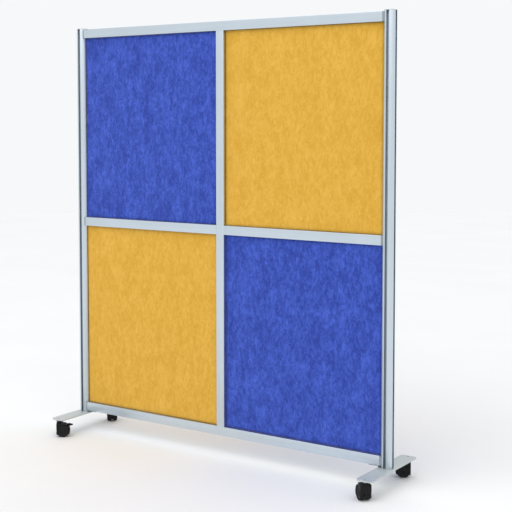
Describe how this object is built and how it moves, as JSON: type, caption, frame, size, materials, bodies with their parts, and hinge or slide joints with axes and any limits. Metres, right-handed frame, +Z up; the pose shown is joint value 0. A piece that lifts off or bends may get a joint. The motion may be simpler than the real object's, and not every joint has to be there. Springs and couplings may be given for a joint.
{
  "type": "partition wall",
  "caption": "Mobile partition wall: felt pin-board panels in an aluminium frame with slotted round posts, flat feet and swivelling twin-wheel castors.",
  "frame": {"origin": "on the floor, below the middle of the wall", "axes": "+Z up, X along the wall with +X to the right seen from the front, -Y out of the front"},
  "size_m": [1.688, 0.4191, 1.898],
  "materials": {
    "anodised_aluminium": "satin silver anodised",
    "satin_steel": "satin silver powder coat on steel",
    "zinc_steel": "bright zinc plate",
    "grey_plastic": "fine moulded grain",
    "black_plastic": "fine moulded grain, semi-matt",
    "black_rubber": "matt tread, polished by wear",
    "board_core": "raw fibreboard",
    "blue_felt": "needled felt, royal blue",
    "yellow_felt": "needled felt, golden yellow"
  },
  "bodies": {
    "frame": {"post_left": "anodised_aluminium", "post_cap_left": "grey_plastic", "post_bolt_left": "zinc_steel", "post_right": "anodised_aluminium", "post_cap_right": "grey_plastic", "post_bolt_right": "zinc_steel", "top_rail": "anodised_aluminium", "bottom_rail": "anodised_aluminium", "centre_mullion": "anodised_aluminium", "mid_rail_left": "anodised_aluminium", "mid_rail_right": "anodised_aluminium", "rail_lock_top_left": "zinc_steel", "rail_lock_top_right": "zinc_steel", "rail_lock_mid_left": "zinc_steel", "rail_lock_mid_right": "zinc_steel", "rail_lock_bottom_left": "zinc_steel", "rail_lock_bottom_right": "zinc_steel", "panel_core_upper_left": "board_core", "felt_front_upper_left": "blue_felt", "felt_back_upper_left": "blue_felt", "panel_core_upper_right": "board_core", "felt_front_upper_right": "yellow_felt", "felt_back_upper_right": "yellow_felt", "panel_core_lower_left": "board_core", "felt_front_lower_left": "yellow_felt", "felt_back_lower_left": "yellow_felt", "panel_core_lower_right": "board_core", "felt_front_lower_right": "blue_felt", "felt_back_lower_right": "blue_felt", "foot_plate_left": "satin_steel", "foot_bracket_left": "satin_steel", "bracket_screw_left": "zinc_steel", "foot_plate_right": "satin_steel", "foot_bracket_right": "satin_steel", "bracket_screw_right": "zinc_steel", "castor_front_left_stem": "zinc_steel", "castor_back_left_stem": "zinc_steel", "castor_front_right_stem": "zinc_steel", "castor_back_right_stem": "zinc_steel"},
    "castor_front_left_fork": {"castor_front_left_hood": "black_plastic", "castor_front_left_axle": "zinc_steel"},
    "castor_front_left_wheel_a": {"castor_front_left_wheel_a": "black_rubber"},
    "castor_front_left_wheel_b": {"castor_front_left_wheel_b": "black_rubber"},
    "castor_front_left_pedal": {"castor_front_left_pedal": "black_plastic"},
    "castor_back_left_fork": {"castor_back_left_hood": "black_plastic", "castor_back_left_axle": "zinc_steel"},
    "castor_back_left_wheel_a": {"castor_back_left_wheel_a": "black_rubber"},
    "castor_back_left_wheel_b": {"castor_back_left_wheel_b": "black_rubber"},
    "castor_back_left_pedal": {"castor_back_left_pedal": "black_plastic"},
    "castor_front_right_fork": {"castor_front_right_hood": "black_plastic", "castor_front_right_axle": "zinc_steel"},
    "castor_front_right_wheel_a": {"castor_front_right_wheel_a": "black_rubber"},
    "castor_front_right_wheel_b": {"castor_front_right_wheel_b": "black_rubber"},
    "castor_front_right_pedal": {"castor_front_right_pedal": "black_plastic"},
    "castor_back_right_fork": {"castor_back_right_hood": "black_plastic", "castor_back_right_axle": "zinc_steel"},
    "castor_back_right_wheel_a": {"castor_back_right_wheel_a": "black_rubber"},
    "castor_back_right_wheel_b": {"castor_back_right_wheel_b": "black_rubber"},
    "castor_back_right_pedal": {"castor_back_right_pedal": "black_plastic"}
  },
  "joints": [
    {"name": "castor_front_left_swivel", "type": "hinge", "parent": "frame", "child": "castor_front_left_fork", "pos_m": [-0.808, -0.184, 0.066], "axis": [0, 0, 1], "continuous": true},
    {"name": "castor_front_left_roll_a", "type": "hinge", "parent": "castor_front_left_fork", "child": "castor_front_left_wheel_a", "pos_m": [-0.79441, -0.17219, 0.029], "axis": [-0.6561, 0.7547, 0], "continuous": true},
    {"name": "castor_front_left_roll_b", "type": "hinge", "parent": "castor_front_left_fork", "child": "castor_front_left_wheel_b", "pos_m": [-0.79441, -0.17219, 0.029], "axis": [-0.6561, 0.7547, 0], "continuous": true},
    {"name": "castor_front_left_brake", "type": "hinge", "parent": "castor_front_left_fork", "child": "castor_front_left_pedal", "pos_m": [-0.78158, -0.16104, 0.046], "axis": [-0.6561, 0.7547, 0], "range_deg": [0, 14]},
    {"name": "castor_back_left_swivel", "type": "hinge", "parent": "frame", "child": "castor_back_left_fork", "pos_m": [-0.808, 0.184, 0.066], "axis": [0, 0, 1], "continuous": true},
    {"name": "castor_back_left_roll_a", "type": "hinge", "parent": "castor_back_left_fork", "child": "castor_back_left_wheel_a", "pos_m": [-0.79505, 0.1715, 0.029], "axis": [0.6947, 0.7193, 0], "continuous": true},
    {"name": "castor_back_left_roll_b", "type": "hinge", "parent": "castor_back_left_fork", "child": "castor_back_left_wheel_b", "pos_m": [-0.79505, 0.1715, 0.029], "axis": [0.6947, 0.7193, 0], "continuous": true},
    {"name": "castor_back_left_brake", "type": "hinge", "parent": "castor_back_left_fork", "child": "castor_back_left_pedal", "pos_m": [-0.78282, 0.15969, 0.046], "axis": [0.6947, 0.7193, 0], "range_deg": [0, 14]},
    {"name": "castor_front_right_swivel", "type": "hinge", "parent": "frame", "child": "castor_front_right_fork", "pos_m": [0.808, -0.184, 0.066], "axis": [0, 0, 1], "continuous": true},
    {"name": "castor_front_right_roll_a", "type": "hinge", "parent": "castor_front_right_fork", "child": "castor_front_right_wheel_a", "pos_m": [0.79462, -0.17196, 0.029], "axis": [-0.6691, -0.7431, 0], "continuous": true},
    {"name": "castor_front_right_roll_b", "type": "hinge", "parent": "castor_front_right_fork", "child": "castor_front_right_wheel_b", "pos_m": [0.79462, -0.17196, 0.029], "axis": [-0.6691, -0.7431, 0], "continuous": true},
    {"name": "castor_front_right_brake", "type": "hinge", "parent": "castor_front_right_fork", "child": "castor_front_right_pedal", "pos_m": [0.78199, -0.16058, 0.046], "axis": [-0.6691, -0.7431, 0], "range_deg": [0, 14]},
    {"name": "castor_back_right_swivel", "type": "hinge", "parent": "frame", "child": "castor_back_right_fork", "pos_m": [0.808, 0.184, 0.066], "axis": [0, 0, 1], "continuous": true},
    {"name": "castor_back_right_roll_a", "type": "hinge", "parent": "castor_back_right_fork", "child": "castor_back_right_wheel_a", "pos_m": [0.79182, 0.17611, 0.029], "axis": [0.4384, -0.8988, 0], "continuous": true},
    {"name": "castor_back_right_roll_b", "type": "hinge", "parent": "castor_back_right_fork", "child": "castor_back_right_wheel_b", "pos_m": [0.79182, 0.17611, 0.029], "axis": [0.4384, -0.8988, 0], "continuous": true},
    {"name": "castor_back_right_brake", "type": "hinge", "parent": "castor_back_right_fork", "child": "castor_back_right_pedal", "pos_m": [0.77654, 0.16866, 0.046], "axis": [0.4384, -0.8988, 0], "range_deg": [0, 14]}
  ]
}
